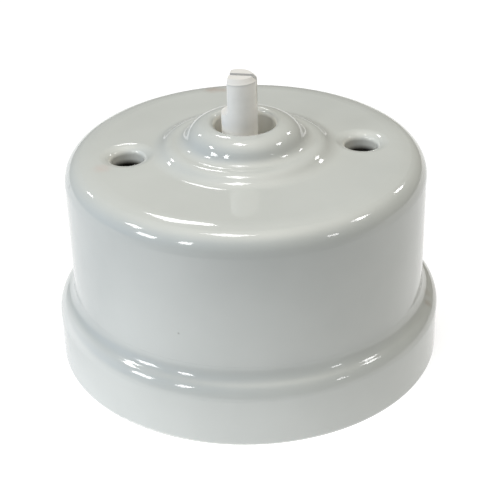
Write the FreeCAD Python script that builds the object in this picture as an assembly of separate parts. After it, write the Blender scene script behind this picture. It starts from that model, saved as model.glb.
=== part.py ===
# Surface-mounted porcelain rotary switch: glazed cover, base and the snap-action works inside it.
# Millimetres. Origin at the middle of the cover's rim, on the wall plane, +Z out of the wall,
# X through the two cover-screw holes. The cover lies loose, so the works stand off its axis by the play.
import FreeCAD, Part
import math
import os

V = FreeCAD.Vector

# Fits
run_fit = 0.03          # radial, turning shafts
slide_fit = 0.03        # pieces threaded on the square shaft, tips on the rotor's rim
end_float = 0.05        # axial, under the rotor and over the collar
hole_fit = 0.1          # radial, screws and inserts in their holes
contact_gap = 0.05      # between a fixed contact and the passing tip
cover_play = 0.8        # how far the loose cover lies off the spindle's axis
seat_fit = 0.3          # radial room left in the cover's rebate past that play
overcut = 1.0           # how far a cutting body runs past a face

# Turning contact
rotor_r = 8.5
rotor_t = 4.0
hub_r = 4.4
hub_t = 1.5
tip_t = 0.77            # contact strip where it turns down over the rotor's rim
tip_drop = 3.2
strip_t = 0.8
strip_w = 8.0
rivet_r = 0.9
rivet_head_r = 1.5
rivet_head_t = 0.6

# Snap action
cam_flat = 9.0          # across the flats
cam_corner_r = 5.9      # turned corners
cam_t = 5.0
leaf_t = 0.5
leaf_w = 3.8
leaf_lip = 1.4          # turned-out ends
leaf_end_room = 0.2     # between a leaf's lip and the leg it hooks behind
slot_room = 0.2         # round a leaf in its slot

# Spindle
pivot_r = 2.0
pivot_len = 3.6         # in the base
square_w = 5.0
collar_r = 4.6
collar_t = 1.8
journal_r = 3.5         # in the bush
journal_over = 0.6      # past the bush
shaft_r = 3.0
shaft_out = 8.25        # past the crown of the boss
shaft_chamfer = 0.7
flat_depth = 1.5
flat_len = 6.5
flat_runout = 1.0       # rounded end of the flat
flat_angle = 165.0      # the way the flat faces
split_w = 0.9
split_len = 5.0

# Bearing
washer_t = 0.6
washer_r = 4.2
bush_flange_r = 6.0
bush_flange_t = 1.2
bush_r = 5.0
bush_over = 4.0         # past the bridge
sheet_t = 1.2
bend_r = 1.0            # inside the bridge's bends
bridge_w = 14.0
bridge_room = 3.2       # from the tips' path to the bridge's legs
foot_w = 8.0
foot_margin = 0.4       # past a screw's head

# Terminals and fixed contacts
button_r = 1.4
button_h = 0.45
button_shank_r = 0.7
button_head_r = 1.1
button_head_t = 0.3
blade_t = 0.5
blade_w = 4.4
blade_past = 3.0        # past the button
block_w = 7.6
block_l = 8.4
block_h = 11.0
block_y = 8.2           # near side of a block
block_edge = 0.6
tunnel_r = 1.75
tunnel_z = 6.5          # above the base
fixing_depth = 3.4      # thread in the underside of a block

# Screws
screw_r = 1.5
screw_head_r = 2.5
screw_head_t = 1.8
screw_slot_w = 0.7
screw_slot_d = 0.8
terminal_screw_len = 3.0
nut_flats = 5.5
nut_t = 2.2
nut_pocket_t = 3.2
sunk_head_r = 3.0
sunk_head_t = 1.6
sunk_depth = 0.8        # countersunk heads below the underside

# Base
base_t = 7.0
base_edge = 0.5
seat_w = 1.7            # ledge that carries the cover
pillar_r = 4.3
pillar_foot = 1.0
pillar_gap = 3.8        # from a pillar's top to the cover
insert_r = 2.5
insert_len = 8.0
insert_flange_r = 3.4
insert_flange_t = 0.8
insert_bore_r = 1.65
wall_screw_r = 2.1
wall_screw_sink_r = 3.5
wall_screw_pcd = 44.0
wall_screw_angle = 65.0
cable_r = 5.0
cable_x = 14.5
cable_y = 11.5

# Cover
block_room = 2.24       # from the blocks' corners to the cavity
wall_t = 3.6
top_t = 2.96
rim_t = 3.55
headroom = 7.4          # over the bush
rim_edge = 1.0
flange_side = 8.7       # height of the flange's straight side
shoulder_r = 2.2
neck_fillet = 1.2
top_edge = 3.5
top_roll = 12.0         # larger radius that leads from the top into its edge
roll_angle = 14.0       # degrees the top has turned down where its edge begins
top_slope = 1.6         # degrees the top falls towards its edge
cavity_fillet = 2.5
ledge_w = 0.13          # flat of the step round the dome
step_rise = 1.74        # over the top, where it starts to roll into its edge
step_edge = 3.1
step_fillet = 4.0
dome_h = 3.35
dome_edge = 4.0
dome_fillet = 2.3
hollow_r = 9.5
hollow_t = 3.4          # porcelain over the hollow under the boss
shaft_hole_r = 5.1
lip_r = 1.0
screw_hole_r = 2.8
screw_hole_edge = 0.9   # rounding of the holes inside their dishes
dish_w = 1.4            # round a hole
dish_slope = 25.0
dish_blend = 2.4        # rounding of the dishes' rims
dish_run = 1.053        # how far the dishes run into the foot of the step

# Heights of the works, from the wall up
hub_z = base_t + washer_t + end_float
rotor_z = hub_z + hub_t
cam_z = rotor_z + rotor_t
collar_z = cam_z + cam_t
bush_z = collar_z + collar_t + end_float
plate_z = bush_z + bush_flange_t
bush_top = plate_z + sheet_t + bush_over
underside_z = bush_top + headroom
pillar_top = underside_z - pillar_gap
top_z = underside_z + top_t
step_z = top_z + step_rise
crown_z = step_z + dome_h
shaft_top = crown_z + shaft_out

# Reaches of the works, from the spindle's axis out
tip_r = rotor_r + slide_fit + tip_t
button_x = tip_r + contact_gap
blade_x = button_x + button_h
block_x = blade_x + blade_t
block_far_x = block_x + block_w
block_far_y = block_y + block_l
leg_y = tip_r + bridge_room
foot_screw_y = leg_y + sheet_t + bend_r + screw_head_r + hole_fit
cavity_r = math.hypot(block_far_x, block_far_y) + block_room
body_r = cavity_r + wall_t
base_r = cavity_r + seat_w
rebate_r = base_r + cover_play + seat_fit
flange_r = rebate_r + rim_t
block_mid_x = block_x + block_w / 2
block_mid_y = block_y + block_l / 2
leaf_x = cam_flat / 2 + slide_fit
leaf_mid_z = cam_z + cam_t / 2
tip_mid_z = cam_z - tip_drop / 2
rivet_x = cam_flat / 2 + rivet_head_r + hole_fit

# Reaches of the cover's boss and screw holes, from its axis out
dome_rounds = dome_edge + dome_fillet
step_rounds = step_edge + step_fillet
dome_w = math.sqrt(dome_rounds ** 2 - (dome_rounds - dome_h) ** 2)
step_w = math.sqrt(step_rounds ** 2 - (step_rounds - step_rise) ** 2)
step_flat_r = shaft_hole_r + lip_r + dome_w + ledge_w
dish_r = screw_hole_r + dish_w
pillar_x = step_flat_r + step_w - dish_run + dish_r     # also the cover's screw holes


def cyl(r, z0, z1, x=0.0, y=0.0):
    return Part.makeCylinder(r, z1 - z0, V(x, y, z0))


def box(x0, x1, y0, y1, z0, z1):
    return Part.makeBox(x1 - x0, y1 - y0, z1 - z0, V(x0, y0, z0))


def corner(x, z):
    return [V(x, 0, z)]


def arc(x, z, r, start, end):
    angles = [math.radians(a) for a in (start, (start + end) / 2, end)]
    return [V(x + r * math.cos(a), 0, z + r * math.sin(a)) for a in angles]


def turned(*stretches):
    # A body of revolution: corners and arcs in the XZ plane, joined by straight lines
    edges = []
    last = stretches[-1][-1]
    for points in stretches:
        if (points[0] - last).Length > 1e-6:
            edges.append(Part.LineSegment(last, points[0]).toShape())
        if len(points) == 3:
            edges.append(Part.Arc(*points).toShape())
        last = points[-1]
    return Part.Face(Part.Wire(edges)).revolve(V(0, 0, 0), V(0, 0, 1), 360)


def pair(shape):
    other = shape.copy()
    other.rotate(V(0, 0, 0), V(0, 0, 1), 180)
    return [shape, other]


def group(shapes):
    return Part.makeCompound(shapes)


def cut_all(shape, tools):
    for tool in tools:
        shape = shape.cut(tool)
    return shape


def moved(shape, x, y, z):
    shape.translate(V(x, y, z))
    return shape


def bulge_to_wall(x, z, r, fillet, wall_x):
    # Height of the fillet that leads a convex arc up into a vertical wall, and the angle where they meet
    dx = wall_x + fillet - x
    dz = math.sqrt((r + fillet) ** 2 - dx ** 2)
    return z + dz, math.degrees(math.atan2(dz, dx))


def bulge_to_slope(bulge, r, fillet, ground, slope):
    # Centre of the fillet that leads a convex arc out on to sloping ground, and the angle where they meet
    along = V(math.cos(math.radians(slope)), 0, -math.sin(math.radians(slope)))
    lift = V(math.sin(math.radians(slope)), 0, math.cos(math.radians(slope)))
    start = ground + lift * fillet - bulge
    run = start.dot(along)
    reach = math.sqrt(run ** 2 - start.dot(start) + (r + fillet) ** 2) - run
    middle = bulge + start + along * reach
    return middle, math.degrees(math.atan2(middle.z - bulge.z, middle.x - bulge.x))


def porcelain_cover():
    shoulder_x = flange_r - shoulder_r
    neck_z, neck_a = bulge_to_wall(shoulder_x, flange_side, shoulder_r, neck_fillet, body_r)
    edge, roll = rolled_edge()
    step = V(step_flat_r, 0, step_z - step_edge)
    step_foot, step_a = bulge_to_slope(step, step_edge, step_fillet, roll[-1], top_slope)
    dome = V(shaft_hole_r + lip_r, 0, crown_z - dome_edge)
    dome_foot, dome_a = bulge_to_slope(dome, dome_edge, dome_fillet, V(step_flat_r, 0, step_z), 0)
    hollow_z = step_z - hollow_t
    shell = turned(
        corner(rebate_r, 0),
        arc(flange_r - rim_edge, rim_edge, rim_edge, -90, 0),
        arc(shoulder_x, flange_side, shoulder_r, 0, neck_a),
        arc(body_r + neck_fillet, neck_z, neck_fillet, neck_a + 180, 180),
        edge,
        roll,
        arc(step_foot.x, step_foot.z, step_fillet, 270 - top_slope, step_a + 180),
        arc(step.x, step.z, step_edge, step_a, 90),
        arc(dome_foot.x, dome_foot.z, dome_fillet, 270, dome_a + 180),
        arc(dome.x, dome.z, dome_edge, dome_a, 90),
        arc(dome.x, crown_z - lip_r, lip_r, 90, 180),
        corner(shaft_hole_r, hollow_z),
        corner(hollow_r, hollow_z),
        corner(hollow_r, underside_z),
        arc(cavity_r - cavity_fillet, underside_z - cavity_fillet, cavity_fillet, 90, 0),
        corner(cavity_r, base_t),
        corner(rebate_r, base_t),
    )
    shell.rotate(V(0, 0, 0), V(0, 0, 1), 90)     # its seam keeps clear of the dishes
    fall = math.tan(math.radians(top_slope)) * (roll[-1].x - pillar_x)
    dish = moved(screw_dish(), pillar_x, 0, roll[-1].z + fall)
    hole = cyl(screw_hole_r, underside_z - overcut, step_z, pillar_x)
    shell = cut_all(shell, pair(dish) + pair(hole))
    shell = shell.makeFillet(screw_hole_edge, rim_edges(shell, 0, screw_hole_r))
    return shell.makeFillet(dish_blend, rim_edges(shell, (screw_hole_r + dish_r) / 2, dish_r + overcut))


def rolled_edge():
    # The cover's top edge: a round off the wall, then a larger one that lies flat into the top
    down, flat = math.radians(roll_angle), math.radians(top_slope)
    x = body_r - top_edge
    z = top_z - top_roll * (math.cos(flat) - math.cos(down)) - top_edge * math.cos(down)
    inward = top_roll - top_edge
    roll = arc(x - inward * math.sin(down), z - inward * math.cos(down), top_roll, 90 - roll_angle, 90 - top_slope)
    return arc(x, z, top_edge, 0, 90 - roll_angle), roll


def screw_dish():
    # A shallow cone square to the sloping top, a little wider than its rim
    slope = math.tan(math.radians(dish_slope))
    widest = dish_r + overcut
    dish = Part.makeCone(0, widest, widest * slope, V(0, 0, -dish_r * slope))
    dish.rotate(V(0, 0, 0), V(0, 1, 0), top_slope)
    return dish


def rim_edges(shell, least, most):
    # The edges round the screw holes, on the outside, within a band of radii
    found = []
    for edge in shell.Edges:
        reach = [math.hypot(abs(p.x) - pillar_x, p.y) for p in edge.discretize(9)]
        outside = edge.BoundBox.ZMin > underside_z + overcut
        if outside and min(reach) > least - 1e-4 and max(reach) < most + 1e-4:
            found.append(edge)
    return found


def porcelain_base():
    disc = turned(
        corner(0, 0),
        corner(base_r - base_edge, 0),
        corner(base_r, base_edge),
        corner(base_r, base_t),
        corner(0, base_t),
    )
    pillar = turned(
        corner(0, base_t - overcut),
        corner(pillar_r + pillar_foot, base_t - overcut),
        arc(pillar_r + pillar_foot, base_t + pillar_foot, pillar_foot, 270, 180),
        corner(pillar_r, pillar_top),
        corner(0, pillar_top),
    )
    body = disc.multiFuse(pair(moved(pillar, pillar_x, 0, 0))).removeSplitter()

    insert_floor = pillar_top - insert_len - hole_fit
    insert_pocket = cyl(insert_r + hole_fit, insert_floor, pillar_top + overcut, pillar_x)
    wall_hole = turned(
        corner(0, -overcut),
        corner(wall_screw_r, -overcut),
        corner(wall_screw_r, base_t - wall_screw_sink_r + wall_screw_r),
        corner(wall_screw_sink_r, base_t),
        corner(wall_screw_sink_r, base_t + overcut),
        corner(0, base_t + overcut),
    )
    angle = math.radians(wall_screw_angle)
    reach = wall_screw_pcd / 2
    moved(wall_hole, reach * math.cos(angle), reach * math.sin(angle), 0)
    cable_hole = cyl(cable_r, -overcut, base_t + overcut, cable_x, cable_y)
    nut_pocket = hexagon(nut_flats + 2 * hole_fit, -overcut, nut_pocket_t)
    bridge_hole = cyl(screw_r + hole_fit, 0, base_t + overcut).fuse(nut_pocket)
    moved(bridge_hole, 0, foot_screw_y, 0)
    fixing_hole = sunk_screw_body(base_t + overcut, hole_fit)
    moved(fixing_hole, -block_mid_x, block_mid_y, 0)
    tools = []
    for tool in (insert_pocket, wall_hole, cable_hole, bridge_hole, fixing_hole):
        tools += pair(tool)
    tools.append(cyl(pivot_r + run_fit, base_t - pivot_len - hole_fit, base_t + overcut))
    return cut_all(body, tools)


def hexagon(flats, z0, z1):
    r = flats / math.sqrt(3)
    angles = [math.radians(60 * i) for i in range(7)]
    points = [V(r * math.cos(a), r * math.sin(a), z0) for a in angles]
    return Part.Face(Part.makePolygon(points)).extrude(V(0, 0, z1 - z0))


def slotted_screw(length):
    # Cheese-head screw, its head standing on z = 0
    body = cyl(screw_r, -length, 0).fuse(cyl(screw_head_r, 0, screw_head_t))
    slot = box(-screw_head_r, screw_head_r, -screw_slot_w / 2, screw_slot_w / 2,
               screw_head_t - screw_slot_d, screw_head_t + overcut)
    return body.cut(slot)


def sunk_screw_body(top, room):
    # Countersunk screw put in from the underside, or with room round it the hole that takes it
    bottom = -overcut if room else sunk_depth
    head_r = sunk_head_r + room
    return turned(
        corner(0, bottom),
        corner(head_r, bottom),
        corner(head_r, sunk_depth),
        corner(screw_r + room, sunk_depth + sunk_head_t),
        corner(screw_r + room, top),
        corner(0, top),
    )


def cover_inserts():
    insert = cyl(insert_r, pillar_top - insert_len, pillar_top)
    insert = insert.fuse(cyl(insert_flange_r, pillar_top, pillar_top + insert_flange_t))
    insert = insert.cut(cyl(insert_bore_r, pillar_top - insert_len - overcut, underside_z))
    return group(pair(moved(insert, pillar_x, 0, 0)))


def bearing_bridge():
    out = leg_y + sheet_t
    far = foot_screw_y + screw_head_r + foot_margin
    top = plate_z + sheet_t
    outline = [(-far, base_t), (-leg_y, base_t), (-leg_y, plate_z), (leg_y, plate_z), (leg_y, base_t),
               (far, base_t), (far, base_t + sheet_t), (out, base_t + sheet_t), (out, top),
               (-out, top), (-out, base_t + sheet_t), (-far, base_t + sheet_t)]
    points = [V(-bridge_w / 2, y, z) for y, z in outline]
    strap = Part.Face(Part.makePolygon(points + points[:1])).extrude(V(bridge_w, 0, 0))
    strap = strap.makeFillet(bend_r, bends(strap, [(leg_y, plate_z), (out, base_t + sheet_t)]))
    strap = strap.makeFillet(bend_r + sheet_t, bends(strap, [(out, top), (leg_y, base_t)]))
    waist = box(foot_w / 2, bridge_w, out + bend_r, far + overcut,
                base_t - overcut, base_t + sheet_t + overcut)
    for tool in pair(waist) + pair(waist.mirror(V(0, 0, 0), V(1, 0, 0))):
        strap = strap.cut(tool)
    ends = [e for e in strap.Edges if upright(e) and abs(abs(e.CenterOfMass.y) - far) < 1e-6]
    strap = strap.makeFillet(foot_w / 3, ends)
    slot_z = leaf_w / 2 + slot_room
    slot = box(leaf_x - slot_room, leaf_x + leaf_t + slot_room, -out - overcut, out + overcut,
               leaf_mid_z - slot_z, leaf_mid_z + slot_z)
    screw_hole = cyl(screw_r + hole_fit, base_t - overcut, base_t + sheet_t + overcut, 0, foot_screw_y)
    bush_hole = cyl(bush_r, plate_z - overcut, top + overcut)
    return cut_all(strap, pair(slot) + pair(screw_hole) + [bush_hole])


def upright(edge):
    ends = [v.Point for v in edge.Vertexes]
    return len(ends) == 2 and abs(ends[0].x - ends[1].x) + abs(ends[0].y - ends[1].y) < 1e-6


def bends(strap, places):
    # The edges across the strap at the given (y, z) places, on both its sides
    found = []
    for edge in strap.Edges:
        middle = edge.CenterOfMass
        near = [1 for y, z in places if abs(abs(middle.y) - y) + abs(middle.z - z) < 1e-6]
        if near and abs(edge.Length - bridge_w) < 1e-6:
            found.append(edge)
    return found


def bearing_bush():
    bush = cyl(bush_flange_r, bush_z, plate_z).fuse(cyl(bush_r, plate_z, bush_top))
    return bush.cut(cyl(journal_r + run_fit, bush_z - overcut, bush_top + overcut))


def bridge_screws():
    screw = slotted_screw(base_t + sheet_t - nut_pocket_t + nut_t)
    return group(pair(moved(screw, 0, foot_screw_y, base_t + sheet_t)))


def bridge_nuts():
    nut = hexagon(nut_flats, nut_pocket_t - nut_t, nut_pocket_t)
    nut = nut.cut(cyl(screw_r, 0, base_t))
    return group(pair(moved(nut, 0, foot_screw_y, 0)))


def spindle():
    body = turned(
        corner(0, base_t - pivot_len),
        corner(pivot_r, base_t - pivot_len),
        corner(pivot_r, collar_z),
        corner(collar_r, collar_z),
        corner(collar_r, collar_z + collar_t),
        corner(journal_r, collar_z + collar_t),
        corner(journal_r, bush_top + journal_over),
        corner(shaft_r, bush_top + journal_over),
        corner(shaft_r, shaft_top - shaft_chamfer),
        corner(shaft_r - shaft_chamfer, shaft_top),
        corner(0, shaft_top),
    )
    half = square_w / 2
    body = body.fuse(box(-half, half, -half, half, hub_z, collar_z))
    flat = box(shaft_r - flat_depth, shaft_r + overcut, -shaft_r - overcut, shaft_r + overcut,
               shaft_top - flat_len, shaft_top + overcut)
    foot = [e for e in flat.Edges if abs(e.CenterOfMass.x - shaft_r + flat_depth) < 1e-6
            and abs(e.CenterOfMass.z - shaft_top + flat_len) < 1e-6]
    flat = flat.makeFillet(flat_runout, foot)
    split = box(-shaft_r - overcut, shaft_r + overcut, -split_w / 2, split_w / 2,
                shaft_top - split_len, shaft_top + overcut)
    for tool in (flat, split):
        tool.rotate(V(0, 0, 0), V(0, 0, 1), flat_angle)
    return cut_all(body, [flat, split])


def square_hole(z0, z1):
    half = square_w / 2 + slide_fit
    return box(-half, half, -half, half, z0 - overcut, z1 + overcut)


def thrust_washer():
    return cyl(washer_r, base_t, base_t + washer_t).cut(cyl(pivot_r + hole_fit, base_t - overcut, hub_z))


def detent_cam():
    half = cam_flat / 2
    cam = box(-half, half, -half, half, cam_z, collar_z).common(cyl(cam_corner_r, cam_z, collar_z))
    return cam.cut(square_hole(cam_z, collar_z))


def detent_spring():
    # A leaf on the +X side of the cam, its ends turned out behind the bridge's legs
    end = leg_y + sheet_t + leaf_end_room + leaf_t
    z0 = leaf_mid_z - leaf_w / 2
    z1 = leaf_mid_z + leaf_w / 2
    leaf = box(leaf_x, leaf_x + leaf_t, -end, end, z0, z1)
    lip = box(leaf_x, leaf_x + leaf_lip, end - leaf_t, end, z0, z1)
    leaf = leaf.multiFuse([lip, box(leaf_x, leaf_x + leaf_lip, -end, leaf_t - end, z0, z1)])
    return leaf.removeSplitter()


def rivet_holes(room):
    r = rivet_r + room
    return pair(cyl(r, rotor_z - overcut, cam_z + overcut, rivet_x))


def rotor():
    body = cyl(hub_r, hub_z, rotor_z).fuse(cyl(rotor_r, rotor_z, cam_z))
    half = strip_w / 2 + slide_fit
    groove = box(-rotor_r - overcut, rotor_r + overcut, -half, half, cam_z - strip_t, cam_z + overcut)
    return cut_all(body, [groove, square_hole(hub_z, cam_z)] + rivet_holes(0))


def contact_bridge():
    # A strip let into the rotor's top, its ends turned down over the rim
    half = strip_w / 2
    cap = cyl(tip_r, cam_z - strip_t, cam_z)
    rim = cyl(tip_r, cam_z - tip_drop, cam_z - strip_t)
    rim = rim.cut(cyl(rotor_r + slide_fit, cam_z - tip_drop - overcut, cam_z))
    strip = cap.fuse(rim).common(box(-tip_r, tip_r, -half, half, cam_z - tip_drop, cam_z))
    return cut_all(strip.removeSplitter(), [square_hole(cam_z - strip_t, cam_z)] + rivet_holes(0))


def contact_rivets():
    rivet = cyl(rivet_r, rotor_z, cam_z).fuse(cyl(rivet_head_r, cam_z, cam_z + rivet_head_t))
    rivet = rivet.fuse(cyl(rivet_head_r, rotor_z - rivet_head_t, rotor_z))
    return group(pair(moved(rivet, rivet_x, 0, 0)))


def terminal_block():
    # The block on the -X, +Y side
    top = base_t + block_h
    block = box(-block_far_x, -block_x, block_y, block_far_y, base_t, top)
    block = block.makeFillet(block_edge, [e for e in block.Edges if upright(e)])
    mouth = V(-block_mid_x, block_y - overcut, base_t + tunnel_z)
    tunnel = Part.makeCylinder(tunnel_r, block_l + 2 * overcut, mouth, V(0, 1, 0))
    clamp_hole = cyl(screw_r + hole_fit, base_t + tunnel_z, top + overcut, -block_mid_x, block_mid_y)
    thread_top = base_t + fixing_depth
    fixing_hole = cyl(screw_r + hole_fit, base_t - overcut, thread_top, -block_mid_x, block_mid_y)
    return cut_all(block, [tunnel, clamp_hole, fixing_hole])


def terminal_screws():
    screw = slotted_screw(terminal_screw_len)
    return group(pair(moved(screw, -block_mid_x, block_mid_y, base_t + block_h)))


def terminal_fixing_screws():
    screw = sunk_screw_body(base_t + fixing_depth - hole_fit, 0)
    slot = box(-sunk_head_r, sunk_head_r, -screw_slot_w / 2, screw_slot_w / 2, 0, sunk_depth + screw_slot_d)
    return group(pair(moved(screw.cut(slot), -block_mid_x, block_mid_y, 0)))


def contact_blade():
    # A leaf brazed to the block's inner side, running past the rotor
    blade = box(-block_x, -blade_x, -blade_past, block_far_y - block_edge,
                tip_mid_z - blade_w / 2, tip_mid_z + blade_w / 2)
    hole = Part.makeCylinder(button_shank_r, block_x, V(-block_x - overcut, 0, tip_mid_z), V(1, 0, 0))
    return blade.cut(hole)


def contact_buttons():
    def disc(r, x0, x1):
        return Part.makeCylinder(r, x1 - x0, V(x0, 0, tip_mid_z), V(1, 0, 0))

    button = disc(button_r, -blade_x, -button_x)
    button = button.fuse(disc(button_shank_r, -block_x, -blade_x))
    button = button.fuse(disc(button_head_r, -block_x - button_head_t, -block_x))
    return group(pair(button))


def other_side(shape):
    return pair(shape)[1]


works = {
    "porcelain_base": porcelain_base(),
    "cover_inserts": cover_inserts(),
    "bearing_bridge": bearing_bridge(),
    "bearing_bush": bearing_bush(),
    "bridge_screws": bridge_screws(),
    "bridge_nuts": bridge_nuts(),
    "spindle": spindle(),
    "thrust_washer": thrust_washer(),
    "detent_cam": detent_cam(),
    "detent_spring_right": detent_spring(),
    "detent_spring_left": other_side(detent_spring()),
    "rotor": rotor(),
    "contact_bridge": contact_bridge(),
    "contact_rivets": contact_rivets(),
    "terminal_block_line": terminal_block(),
    "terminal_block_load": other_side(terminal_block()),
    "terminal_screws": terminal_screws(),
    "terminal_fixing_screws": terminal_fixing_screws(),
    "contact_blade_line": contact_blade(),
    "contact_blade_load": other_side(contact_blade()),
    "contact_buttons": contact_buttons(),
}

os.makedirs("parts", exist_ok=True)
porcelain_cover().exportStep("parts/porcelain_cover.step")
for node, shape in works.items():
    moved(shape, -cover_play, 0, 0).exportStep("parts/" + node + ".step")
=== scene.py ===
import math

import bpy
from mathutils import Matrix, Vector


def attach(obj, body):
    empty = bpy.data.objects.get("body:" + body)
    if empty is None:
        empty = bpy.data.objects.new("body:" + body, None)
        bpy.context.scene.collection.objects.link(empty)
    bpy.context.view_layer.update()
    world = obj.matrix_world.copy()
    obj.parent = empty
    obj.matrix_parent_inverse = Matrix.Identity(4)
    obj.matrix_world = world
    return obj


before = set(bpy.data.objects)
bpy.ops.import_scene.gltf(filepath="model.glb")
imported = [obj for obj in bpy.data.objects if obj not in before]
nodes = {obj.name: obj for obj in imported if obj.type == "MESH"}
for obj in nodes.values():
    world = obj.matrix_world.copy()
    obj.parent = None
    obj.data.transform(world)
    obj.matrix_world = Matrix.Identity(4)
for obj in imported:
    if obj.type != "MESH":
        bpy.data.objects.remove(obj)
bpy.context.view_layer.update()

mm = 0.001  # metres
print("frame loaded,", len(nodes), "nodes")


class Wire:
    # a socket that does sums: each one adds a Math node
    def __init__(self, web, out):
        self.web = web
        self.out = out

    def maths(self, operation, first, second):
        return self.web.node("ShaderNodeMath", {"operation": operation}, {0: first, 1: second})

    def __add__(self, other):
        return self.maths("ADD", self, other)

    def __radd__(self, other):
        return self.maths("ADD", other, self)

    def __mul__(self, other):
        return self.maths("MULTIPLY", self, other)

    def __rmul__(self, other):
        return self.maths("MULTIPLY", other, self)

    def __pow__(self, other):
        return self.maths("POWER", self, other)

    def __rpow__(self, other):
        return self.maths("POWER", other, self)

    def atLeast(self, other):
        return self.maths("MAXIMUM", self, other)


class Web:
    # the nodes of one material, or of the room
    def __init__(self, owner):
        owner.use_nodes = True
        self.tree = owner.node_tree

    def node(self, kind, settings, sockets, out=0):
        made = self.tree.nodes.new(kind)
        for key, value in settings.items():
            if key == "stops":
                self.setStops(made.color_ramp, value)
            else:
                setattr(made, key, value)
        for key, value in sockets.items():
            if isinstance(value, Wire):
                self.tree.links.new(value.out, made.inputs[key])
            else:
                made.inputs[key].default_value = value
        return Wire(self, made.outputs[out])

    def setStops(self, ramp, stops):
        while len(ramp.elements) < len(stops):
            ramp.elements.new(1.0)
        for element, (position, colour) in zip(ramp.elements, stops):
            element.position = position
            element.color = colour


def span(lengths):
    # millimetres as the metres that a shader counts in
    return [length * mm for length in lengths]


def solid(colour, share=1.0):
    return tuple(c * share for c in colour) + (1.0,)


class Finish(Web):
    # one material: its shader, the patterns that feed it, and what it is put on
    def __init__(self, name, fixed):
        self.material = bpy.data.materials.new(name)
        super().__init__(self.material)
        self.shader = self.tree.nodes["Principled BSDF"]
        for socket, value in fixed.items():
            self.shader.inputs[socket].default_value = value
        self.place = self.node("ShaderNodeTexCoord", {}, {}, "Object")

    def feed(self, socket, wire):
        self.tree.links.new(wire.out, self.shader.inputs[socket])

    def along(self, axis):
        return self.node("ShaderNodeSeparateXYZ", {}, {0: self.place}, axis)

    def stretched(self, x, y, z):
        return self.node("ShaderNodeMapping", {}, {"Vector": self.place, "Scale": (x, y, z)})

    def noise(self, size, detail=2.0, rough=0.5, place=None):
        # size is the width of a blotch in millimetres
        scale = 1 / (size * mm)
        sockets = {"Vector": place or self.place, "Scale": scale, "Detail": detail, "Roughness": rough}
        return self.node("ShaderNodeTexNoise", {}, sockets)

    def mask(self, wire, low, high):
        sockets = {"Value": wire, "From Min": low, "From Max": high}
        return self.node("ShaderNodeMapRange", {"interpolation_type": "SMOOTHSTEP"}, sockets)

    def mix(self, factor, first, second):
        sockets = {"Factor": factor, 6: first, 7: second}
        return self.node("ShaderNodeMix", {"data_type": "RGBA"}, sockets, 2)

    def bump(self, wire, depth, under=None):
        # depth is the full height of the relief in millimetres
        sockets = {"Height": wire, "Distance": depth * mm, "Strength": 1.0}
        if under:
            sockets["Normal"] = under
        return self.node("ShaderNodeBump", {}, sockets)

    def mottled(self, kind):
        # the colour, duller and paler in blotches
        blotch = self.noise(kind["blotchSize"], kind["blotchDetail"])
        shades = [solid(kind["colour"], share) for share in kind["blotch"]]
        stops = list(zip(kind["blotchEdge"], shades))
        return self.node("ShaderNodeValToRGB", {"stops": stops}, {0: blotch})

    def uneven(self, kind):
        return kind["roughness"] + self.noise(kind["roughSize"]) * kind["roughSpread"]

    def grained(self, kind, place=None):
        grain = self.noise(kind["grainSize"], kind["grainDetail"], kind.get("grainRough", 0.5), place)
        return self.bump(grain, kind["grain"])

    def away(self, place, point):
        # how far a place is from a point in millimetres
        sockets = {0: place, 1: span(point)}
        return self.node("ShaderNodeVectorMath", {"operation": "DISTANCE"}, sockets, "Value")

    def fromAxis(self, x):
        # how far a place is from the upright line at x
        flat = self.node("ShaderNodeVectorMath", {"operation": "MULTIPLY"}, {0: self.place, 1: (1, 1, 0)})
        return self.away(flat, (x, 0, 0))

    def upward(self):
        # how far a face looks up, from -1 to 1
        facing = self.node("ShaderNodeNewGeometry", {}, {}, "Normal")
        return self.node("ShaderNodeSeparateXYZ", {}, {0: facing}, "Z")

    def spot(self, centre, radius):
        # 1 at a place on the piece, fading to 0 at the radius, in millimetres
        return self.mask(self.away(self.place, centre), radius * mm, 0.0)

    def putOn(self, *names):
        for name in names:
            nodes[name].data.materials.clear()
            nodes[name].data.materials.append(self.material)


# Glazed porcelain of the cover, lengths in millimetres
glaze = {
    "colour": (0.496, 0.508, 0.480), "IOR": 1.5,
    "blotch": (0.975, 1.025), "blotchSize": 14.0, "blotchDetail": 3.0, "blotchEdge": (0.35, 0.65),
    "roughness": 0.045, "roughSize": 3.0, "roughSpread": 0.02, "reliefDetail": 1.0,
    "wave": 0.012, "waveSize": 7.0, "pits": 0.0012, "pitSize": 0.5,
    # ripples on the rolled edge and, below, on the flange
    "peel": 0.014, "peelSize": 1.3,
    "peelFrom": (33.0, 34.5), "peelIn": (24.5, 27.0), "peelBelow": (14.0, 12.5),
    # screw holes, paler inside with painted light and black low down with painted shade, and the hole
    # round the spindle, paler inside with painted light
    "holeAt": 19.6, "holeReach": (3.25, 2.9), "holeDepth": (35.0, 33.8),
    "paintedBoreLight": (0.68, 0.68, 0.63), "paintedHoleShade": (0.010, 0.009, 0.007),
    "shaftReach": (5.5, 5.1), "paintedShaftLight": (0.73, 0.715, 0.65),
    # dull patch on the left of the flange's shoulder
    "wornAt": (-30.5, -9.0, 10.3), "wornReach": 19.0, "wornTop": (11.8, 11.0), "wornFoot": (8.2, 9.6),
    "wornRough": 0.19, "wornColour": (0.63, 0.63, 0.595),
    "stainSize": 0.9, "stainDetail": 3.0, "stainEdge": (0.15, 0.5),
}
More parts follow.
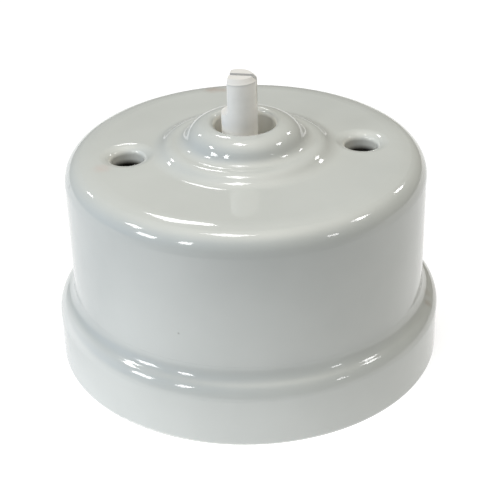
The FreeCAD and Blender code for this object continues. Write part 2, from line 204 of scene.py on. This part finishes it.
# Stains on the glaze: place and reach in millimetres, colour, strength
stains = [
    ((-3.5, 25.5, 36.7), 2.4, (0.40, 0.31, 0.26), 0.55),
    ((-1.6, 24.9, 36.8), 1.6, (0.40, 0.31, 0.26), 0.40),
    ((-23.8, -4.1, 36.8), 2.2, (0.53, 0.45, 0.41), 0.55),
    ((-29.2, -5.8, 34.7), 0.8, (0.34, 0.34, 0.33), 0.50),
    ((-13.4, -27.1, 18.9), 0.3, (0.16, 0.15, 0.13), 0.55),
    ((29.7, -11.1, 10.7), 1.3, (0.36, 0.30, 0.25), 0.50),
    ((30.1, -8.2, 10.9), 1.5, (0.38, 0.33, 0.28), 0.35),
]


def glazedPorcelain():
    finish = Finish("glazedPorcelain", {"IOR": glaze["IOR"]})
    height = finish.along("Z")
    colour = finish.mottled(glaze)
    patchy = finish.mask(finish.noise(glaze["stainSize"], glaze["stainDetail"]), *glaze["stainEdge"])
    for place, reach, tint, strength in stains:
        colour = finish.mix(finish.spot(place, reach) * patchy * strength, colour, solid(tint))
    left = finish.mask(finish.fromAxis(-glaze["holeAt"]), *span(glaze["holeReach"]))
    right = finish.mask(finish.fromAxis(glaze["holeAt"]), *span(glaze["holeReach"]))
    bores = left + right
    deep = finish.mask(height, *span(glaze["holeDepth"]))
    paintedShaftLight = finish.mask(finish.fromAxis(0), *span(glaze["shaftReach"]))
    worn = finish.spot(glaze["wornAt"], glaze["wornReach"])
    for side in ("wornTop", "wornFoot"):
        worn = worn * finish.mask(height, *span(glaze[side]))
    # painted light: the walls of the screw holes and of the hole round the spindle are paler; painted
    # shade: the screw holes go black low down
    colour = finish.mix(bores, colour, solid(glaze["paintedBoreLight"]))
    colour = finish.mix(paintedShaftLight, colour, solid(glaze["paintedShaftLight"]))
    colour = finish.mix(bores * deep, colour, solid(glaze["paintedHoleShade"]))
    finish.feed("Base Color", finish.mix(worn, colour, solid(glaze["wornColour"])))
    finish.feed("Roughness", finish.uneven(glaze) + worn * glaze["wornRough"])
    rolled = finish.mask(height, *span(glaze["peelFrom"]))
    rolled = rolled * finish.mask(finish.fromAxis(0), *span(glaze["peelIn"]))
    rippled = rolled + finish.mask(height, *span(glaze["peelBelow"]))
    waves = finish.noise(glaze["waveSize"], glaze["reliefDetail"])
    ripples = finish.noise(glaze["peelSize"], glaze["reliefDetail"]) * rippled
    pits = finish.noise(glaze["pitSize"], glaze["reliefDetail"])
    relief = finish.bump(waves, glaze["wave"])
    relief = finish.bump(ripples, glaze["peel"], relief)
    finish.feed("Normal", finish.bump(pits, glaze["pits"], relief))
    finish.putOn("porcelain_cover")
    return finish


# Glaze that has run into the corner over the flange, thickest on the left, in millimetres and degrees
# wall, round and roundAt are the cover's own; fillet and swell are the least and the most
# it leaves the shoulder at an angle, stands a little proud of the cover, and its back is sunk in it
neck = {
    "wall": 30.252, "round": 2.2, "roundAt": (30.802, 8.7), "fillet": (2.7, 3.0), "swell": (2.35, 3.6),
    "thickAt": -95.0, "leaves": 8.0, "proud": 0.006, "sunk": 0.4, "turns": 288, "steps": 16,
}


def onArc(centre, radius, angle):
    return (centre[0] + radius * math.cos(angle), centre[1] + radius * math.sin(angle))


def neckSection(turn):
    # points of the section, radius and height: a fillet on the wall, a swollen shoulder, the hidden back
    share = 0.5 + 0.5 * math.cos(turn - math.radians(neck["thickAt"]))
    size = neck["fillet"][0] + (neck["fillet"][1] - neck["fillet"][0]) * share
    swell = neck["swell"][0] + (neck["swell"][1] - neck["swell"][0]) * share
    leaves = math.radians(neck["leaves"])
    shoulder = onArc(neck["roundAt"], neck["round"] - swell, leaves)
    reach = swell + size
    bend = math.acos((neck["wall"] + size - shoulder[0]) / reach)
    middle = (neck["wall"] + size, shoulder[1] + reach * math.sin(bend))
    points = []
    for step in range(neck["steps"] + 1):
        points.append(onArc(middle, size - neck["proud"], math.pi + bend * step / neck["steps"]))
    for step in range(1, neck["steps"] + 1):
        angle = bend + (leaves - bend) * step / neck["steps"]
        points.append(onArc(shoulder, swell + neck["proud"], angle))
    low = onArc(shoulder, swell - neck["sunk"], leaves)
    points.append(low)
    points.append((neck["wall"] - neck["sunk"], low[1]))
    points.append((neck["wall"] - neck["sunk"], middle[1]))
    return points


def neckRun(finish):
    corners = []
    faces = []
    shown = 2 * neck["steps"]  # faces that the section shows
    count = len(neckSection(0))
    for number in range(neck["turns"]):
        turn = 2 * math.pi * number / neck["turns"]
        for radius, height in neckSection(turn):
            corners.append((radius * mm * math.sin(turn), -radius * mm * math.cos(turn), height * mm))
        after = (number + 1) % neck["turns"]
        for place in range(count):
            onward = (place + 1) % count
            faces.append((number * count + place, number * count + onward,
                          after * count + onward, after * count + place))
    mesh = bpy.data.meshes.new("neck_glaze")
    mesh.from_pydata(corners, [], faces)
    for face in mesh.polygons:
        face.use_smooth = face.index % count < shown
    for edge in mesh.edges:
        first, second = edge.vertices
        if first % count == second % count and first % count in (0, shown):
            edge.use_edge_sharp = True
    mesh.materials.append(finish.material)
    run = bpy.data.objects.new("neck_glaze", mesh)
    bpy.context.scene.collection.objects.link(run)
    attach(run, "housing")


# Moulded plastic of the spindle and the cam: tip is a height, top how far a face looks up; both get a
# painted shade
mouldedWhite = {
    "colour": (0.97, 0.945, 0.885), "IOR": 1.46,
    "blotch": (0.97, 1.02), "blotchSize": 1.6, "blotchDetail": 3.0, "blotchEdge": (0.3, 0.7),
    "tip": (48.9, 49.7), "top": (0.5, 0.85), "paintedTopShade": (0.66, 0.645, 0.61),
    "roughness": 0.42, "roughSize": 0.8, "roughSpread": 0.12,
    "grain": 0.004, "grainSize": 0.16, "grainDetail": 3.0,
}


def whitePlastic():
    finish = Finish("whitePlastic", {"IOR": mouldedWhite["IOR"]})
    # painted shade: the spindle's tip and the faces that look up are darker
    tip = finish.mask(finish.along("Z"), *span(mouldedWhite["tip"]))
    top = finish.mask(finish.upward(), *mouldedWhite["top"]).atLeast(tip)
    colour = finish.mix(top, finish.mottled(mouldedWhite), solid(mouldedWhite["paintedTopShade"]))
    finish.feed("Base Color", colour)
    finish.feed("Roughness", finish.uneven(mouldedWhite))
    finish.feed("Normal", finish.grained(mouldedWhite))
    finish.putOn("spindle", "detent_cam")


# Unglazed porcelain of the base
biscuit = {
    "colour": (0.60, 0.58, 0.53), "IOR": 1.45,
    "blotch": (0.93, 1.04), "blotchSize": 9.0, "blotchDetail": 4.0, "blotchEdge": (0.3, 0.7),
    "speck": (0.40, 0.36, 0.30), "speckShare": 0.6,
    "speckSize": 0.7, "speckDetail": 1.0, "speckEdge": (0.70, 0.76),
    "roughness": 0.62, "roughSize": 1.2, "roughSpread": 0.2,
    "grain": 0.02, "grainSize": 0.35, "grainDetail": 4.0,
}


def barePorcelain():
    finish = Finish("barePorcelain", {"IOR": biscuit["IOR"]})
    dots = finish.noise(biscuit["speckSize"], biscuit["speckDetail"])
    specks = finish.mask(dots, *biscuit["speckEdge"])
    colour = finish.mix(specks * biscuit["speckShare"], finish.mottled(biscuit), solid(biscuit["speck"]))
    finish.feed("Base Color", colour)
    finish.feed("Roughness", finish.uneven(biscuit))
    finish.feed("Normal", finish.grained(biscuit))
    finish.putOn("porcelain_base")


# Metals: colour, a tarnished colour, how rough, and the grain with its stretch along X, Y, Z
metals = {
    "turnedBrass": {
        "colour": (0.74, 0.55, 0.25), "tarnish": (0.42, 0.29, 0.13), "amount": 0.55, "roughness": 0.28,
        "grain": 0.004, "grainSize": 0.25, "stretch": (1.0, 1.0, 4.0),
        "pieces": ["cover_inserts", "bearing_bush", "contact_bridge", "contact_rivets",
                   "terminal_block_line", "terminal_block_load"],
    },
    "rolledBrass": {
        "colour": (0.72, 0.52, 0.24), "tarnish": (0.48, 0.32, 0.15), "amount": 0.4, "roughness": 0.32,
        "grain": 0.003, "grainSize": 0.2, "stretch": (1.0, 0.12, 3.0),
        "pieces": ["contact_blade_line", "contact_blade_load"],
    },
    "zincPlate": {
        "colour": (0.62, 0.62, 0.60), "tarnish": (0.42, 0.41, 0.38), "amount": 0.5, "roughness": 0.34,
        "grain": 0.004, "grainSize": 0.3, "stretch": (1.0, 1.0, 1.0),
        "pieces": ["bearing_bridge", "bridge_screws", "bridge_nuts", "thrust_washer",
                   "terminal_screws", "terminal_fixing_screws"],
    },
    "bluedSpring": {
        "colour": (0.30, 0.32, 0.36), "tarnish": (0.16, 0.14, 0.15), "amount": 0.5, "roughness": 0.3,
        "grain": 0.003, "grainSize": 0.2, "stretch": (2.0, 0.1, 2.0),
        "pieces": ["detent_spring_left", "detent_spring_right"],
    },
    "contactSilver": {
        "colour": (0.76, 0.75, 0.71), "tarnish": (0.34, 0.31, 0.27), "amount": 0.45, "roughness": 0.3,
        "grain": 0.003, "grainSize": 0.2, "stretch": (1.0, 1.0, 1.0),
        "pieces": ["contact_buttons"],
    },
}
# What all the metals share
metalWear = {
    "tarnishSize": 2.4, "tarnishDetail": 4.0, "tarnishRough": 0.6,
    "tarnishEdge": (0.42, 0.68), "tarnishDulls": 0.18,
    "roughSize": 0.6, "roughSpread": 0.06, "grainDetail": 3.0, "grainRough": 0.6,
}


def metal(name):
    kind = {**metalWear, **metals[name]}
    finish = Finish(name, {"Metallic": 1.0})
    patches = finish.noise(kind["tarnishSize"], kind["tarnishDetail"], kind["tarnishRough"])
    tarnish = finish.mask(patches, *kind["tarnishEdge"])
    colour = finish.mix(tarnish * kind["amount"], solid(kind["colour"]), solid(kind["tarnish"]))
    finish.feed("Base Color", colour)
    finish.feed("Roughness", finish.uneven(kind) + tarnish * kind["tarnishDulls"])
    finish.feed("Normal", finish.grained(kind, finish.stretched(*kind["stretch"])))
    finish.putOn(*kind["pieces"])


# Phenolic moulding of the rotor, with its wood flour
phenolic = {
    "colour": (0.045, 0.026, 0.017), "flour": (0.085, 0.050, 0.032), "IOR": 1.6,
    "flourSize": 0.5, "flourDetail": 4.0, "flourRough": 0.65, "flourEdge": (0.45, 0.66),
    "roughness": 0.3, "roughSize": 1.5, "roughSpread": 0.14,
    "grain": 0.006, "grainSize": 0.3, "grainDetail": 3.0,
}


def darkPlastic():
    finish = Finish("phenolicRotor", {"IOR": phenolic["IOR"]})
    specks = finish.noise(phenolic["flourSize"], phenolic["flourDetail"], phenolic["flourRough"])
    flour = finish.mask(specks, *phenolic["flourEdge"])
    finish.feed("Base Color", finish.mix(flour, solid(phenolic["colour"]), solid(phenolic["flour"])))
    finish.feed("Roughness", finish.uneven(phenolic))
    finish.feed("Normal", finish.grained(phenolic))
    finish.putOn("rotor")


neckRun(glazedPorcelain())
whitePlastic()
barePorcelain()
for metalName in metals:
    metal(metalName)
darkPlastic()
print("finishes on")

# Camera, in millimetres and degrees: it stands round the target and looks at aim
view = {
    "lens": 96.58, "distance": 232.0, "elevation": 29.54, "azimuth": -4.88, "roll": -1.38,
    "target": (0.0, 0.0, 20.0), "aim": (0.40, -1.26, 17.92), "nearest": 10.0,
}


def setCamera():
    turn = Matrix.Rotation(math.radians(view["azimuth"]), 3, "Z")
    lift = math.radians(view["elevation"])
    back = Vector((0, -math.cos(lift), math.sin(lift)))
    eye = turn @ (Vector(view["target"]) + back * view["distance"]) * mm
    aim = turn @ Vector(view["aim"]) * mm
    data = bpy.data.cameras.new("photoCamera")
    data.lens = view["lens"]
    data.clip_start = view["nearest"] * mm
    camera = bpy.data.objects.new("photoCamera", data)
    bpy.context.scene.collection.objects.link(camera)
    look = (aim - eye).to_track_quat("-Z", "Y").to_matrix().to_4x4()
    spin = Matrix.Rotation(math.radians(view["roll"]), 4, "Z")
    camera.matrix_world = Matrix.Translation(eye) @ look @ spin
    bpy.context.scene.camera = camera


setCamera()
print("camera set")

# Lamps: azimuth from the front and elevation in degrees, wide and high as seen from the part, brightness
lamps = {
    "overhead": (-147, 82, 10, 13, 10),
    "behind": (-175, 44, 7, 6.5, 11),
    "leftBack": (-141, 33, 4, 4, 13),
    "left": (-70, 27, 12, 11, 14),
    "leftHigh": (-92, 43, 9, 7, 16),
    "leftFront": (-45, 34, 7, 11, 15),
    "rightBack": (131, 35, 6, 5, 13),
    "rightHigh": (90, 47, 9, 7, 13),
    "rightFront": (50, 29, 5, 7, 10),
}
lampRing = {"far": 0.7, "middle": Vector((0, 0, 0.03))}  # metres


def way(azimuth, elevation):
    a = math.radians(azimuth)
    e = math.radians(elevation)
    return Vector((math.sin(a) * math.cos(e), -math.cos(a) * math.cos(e), math.sin(e)))


def lampSide(angle):
    return 2 * lampRing["far"] * math.tan(math.radians(angle) / 2)


def setLamps():
    for name, (azimuth, elevation, wide, high, bright) in lamps.items():
        data = bpy.data.lights.new(name, "AREA")
        data.shape = "RECTANGLE"
        data.size = lampSide(wide)
        data.size_y = lampSide(high)
        data.energy = bright * math.pi * data.size * data.size_y
        lamp = bpy.data.objects.new(name, data)
        bpy.context.scene.collection.objects.link(lamp)
        outward = way(azimuth, elevation)
        lamp.location = lampRing["middle"] + outward * lampRing["far"]
        lamp.rotation_euler = (-outward).to_track_quat("-Z", "Y").to_euler()


setLamps()

# Soft light of the room: a little from everywhere, and broad glows by azimuth, elevation and colour
room = {"even": (0.04, 0.04, 0.04), "sharp": 6}
glows = {
    "ceiling": (0, 90, (2.94, 2.76, 2.42)),
    "window": (-45, 50, (0.0, 0.16, 0.38)),
    "leftWall": (-90, 12, (0.0, 0.22, 0.56)),
}


def setRoom():
    world = bpy.data.worlds.new("softRoom")
    bpy.context.scene.world = world
    web = Web(world)
    outward = web.node("ShaderNodeTexCoord", {}, {}, "Generated")
    light = room["even"]
    for azimuth, elevation, colour in glows.values():
        facing = web.node("ShaderNodeVectorMath", {"operation": "DOT_PRODUCT"},
                          {0: outward, 1: way(azimuth, elevation)}, "Value")
        glow = facing.atLeast(0.0) ** room["sharp"]
        sockets = {0: glow, 1: colour, 2: light}
        light = web.node("ShaderNodeVectorMath", {"operation": "MULTIPLY_ADD"}, sockets)
    web.tree.links.new(light.out, web.tree.nodes["Background"].inputs["Color"])


setRoom()
bpy.context.scene.view_settings.view_transform = "Standard"
print("lights on")

# Floor paper that glows as a painted pool of light, lighting the part: brighter near the part and on its
# left, darker ahead of it, in millimetres
paper = {
    "half": 2000.0, "colour": (0.30, 0.30, 0.30), "roughness": 0.85, "gloss": 0.2,
    "blotch": (0.99, 1.0), "blotchSize": 2.0, "blotchDetail": 3.0, "blotchEdge": (0.3, 0.7),
    "glow": (0.74, 0.74, 0.74), "glowLeft": (1.42, 1.42, 1.42), "glowAhead": (0.07, 0.07, 0.07),
    "near": (0, -25), "left": (50, -30), "farLeft": (-90, -45), "ahead": (-46, -110),
}


def layFloor():
    half = paper["half"] * mm
    mesh = bpy.data.meshes.new("floor")
    corners = [(-half, -half, 0), (half, -half, 0), (half, half, 0), (-half, half, 0)]
    mesh.from_pydata(corners, [], [(0, 1, 2, 3)])
    floor = bpy.data.objects.new("floor", mesh)
    bpy.context.scene.collection.objects.link(floor)
    fixed = {"Roughness": paper["roughness"], "Specular IOR Level": paper["gloss"]}
    fixed["Emission Strength"] = 1.0
    finish = Finish("paintedLightPoolPaper", fixed)
    finish.feed("Base Color", finish.mottled(paper))
    across = finish.along("X")
    ahead = finish.along("Y")
    bright = finish.mask(ahead, *span(paper["near"])) * finish.mask(across, *span(paper["left"]))
    bright = bright * finish.mask(across, *span(paper["farLeft"]))
    # painted light: the floor's emission is a pool of light, brighter near the part and on its left, dim
    # ahead of it
    glow = finish.mix(bright, solid(paper["glow"]), solid(paper["glowLeft"]))
    glow = finish.mix(finish.mask(ahead, *span(paper["ahead"])), glow, solid(paper["glowAhead"]))
    finish.feed("Emission Color", glow)
    mesh.materials.append(finish.material)


layFloor()
print("floor laid")
